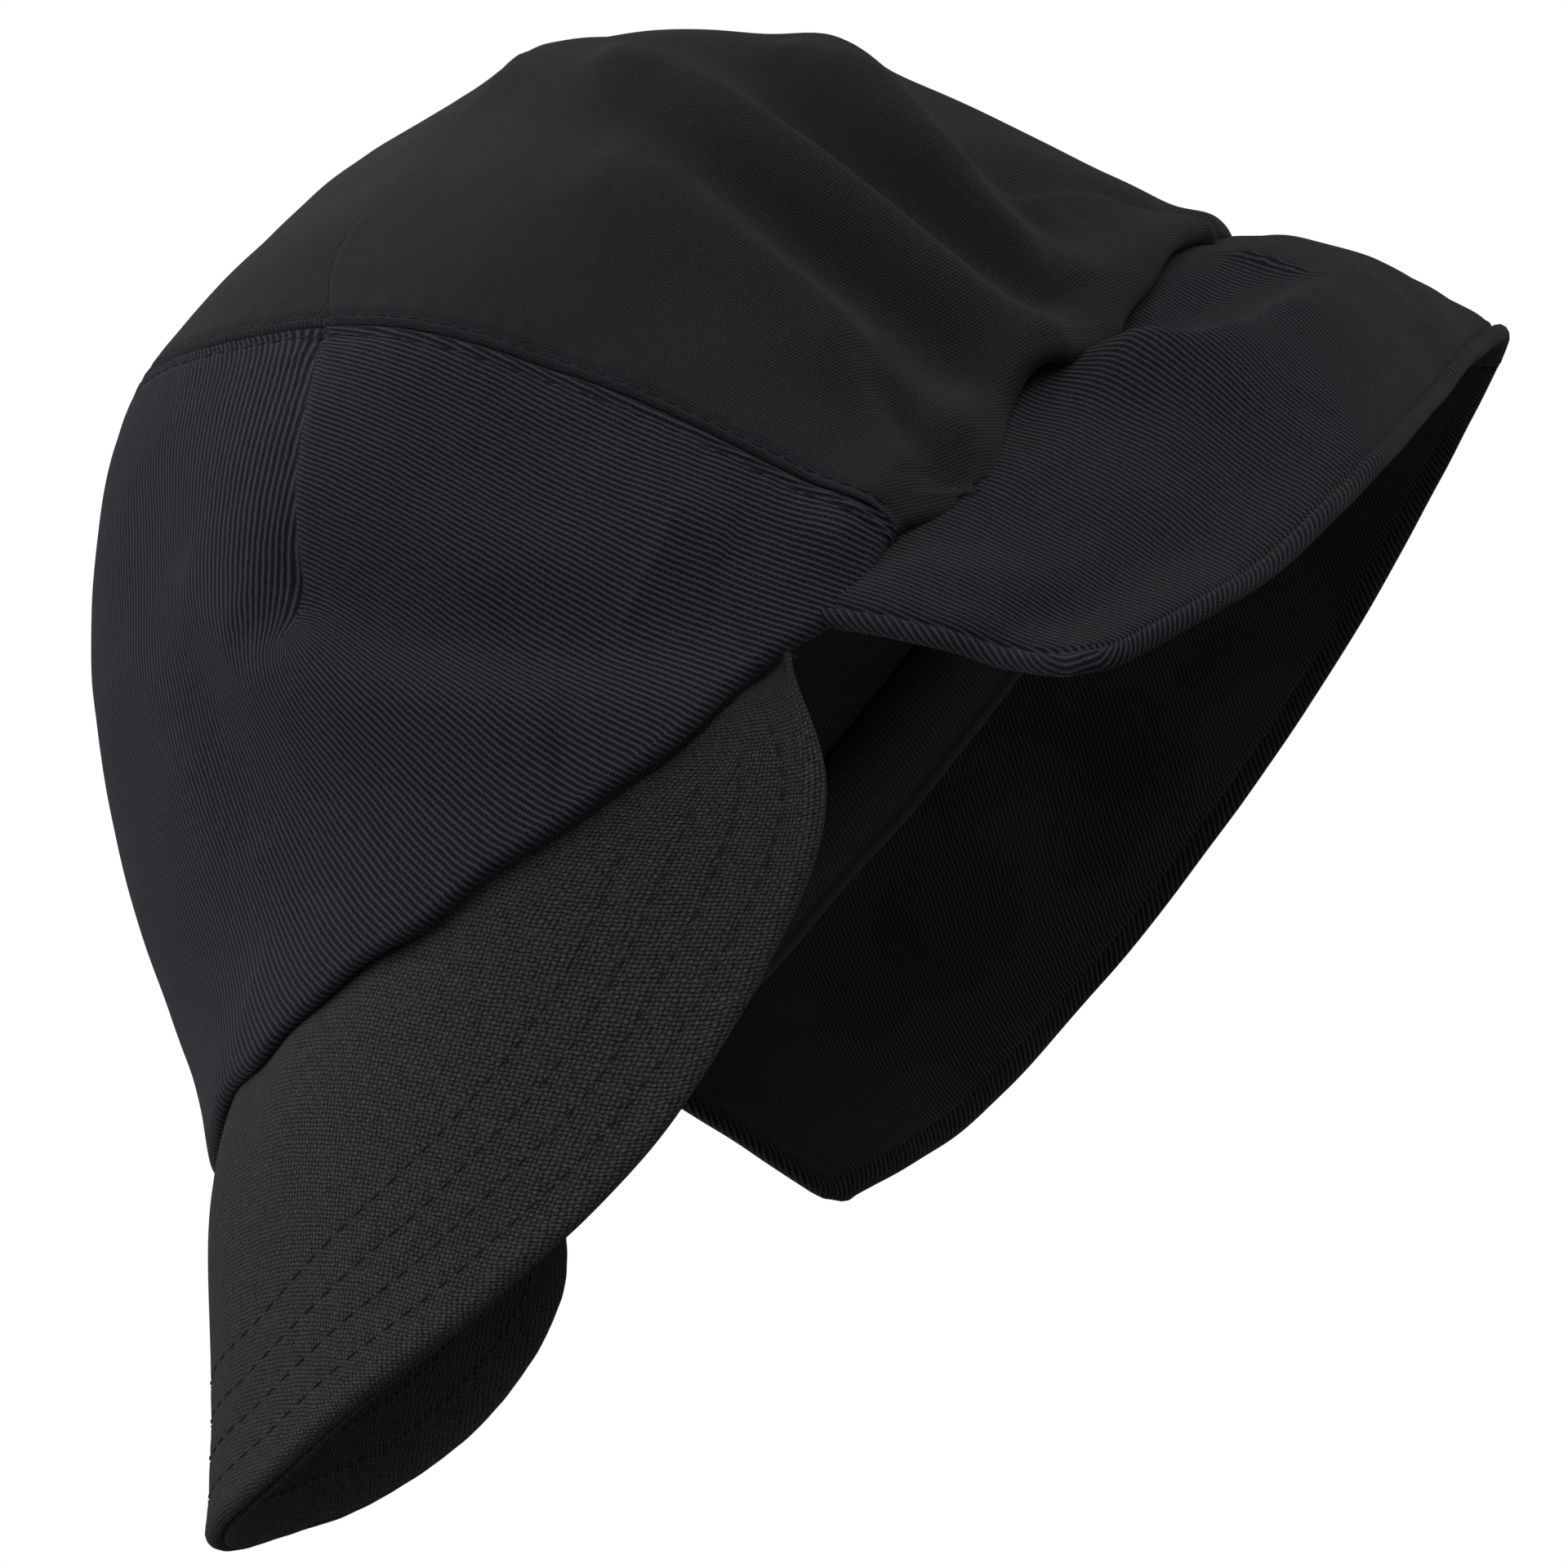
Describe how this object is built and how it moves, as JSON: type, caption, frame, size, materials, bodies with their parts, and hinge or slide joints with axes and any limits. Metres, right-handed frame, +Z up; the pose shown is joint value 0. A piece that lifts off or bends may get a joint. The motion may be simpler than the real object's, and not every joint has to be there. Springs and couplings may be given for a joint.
{
  "type": "peaked cap with a neck flap",
  "caption": "Soft cotton cap with a panelled crown, a short arched stitched peak and a flap that hangs from the rim round the ears and neck.",
  "frame": {"origin": "middle of the head opening, level with the rim at its sides", "axes": "+Z up through the crown, -Y towards the front, +X towards the wearer's left"},
  "size_m": [0.1857, 0.2763, 0.1555],
  "materials": {
    "steep_twill": "black cotton with bold steep twill lines, faintly blue, matt",
    "fine_twill": "black cotton with fine twill lines, faintly brown, brushed, matt",
    "canvas": "charcoal cotton canvas in a plain coarse weave with rows of navy stitching, matt"
  },
  "bodies": {
    "root": {"front_band": "steep_twill", "crown_centre": "fine_twill", "crown_left": "fine_twill", "crown_right": "fine_twill", "peak": "canvas", "neck_flap": "steep_twill", "rim_welt": "steep_twill"}
  },
  "joints": []
}
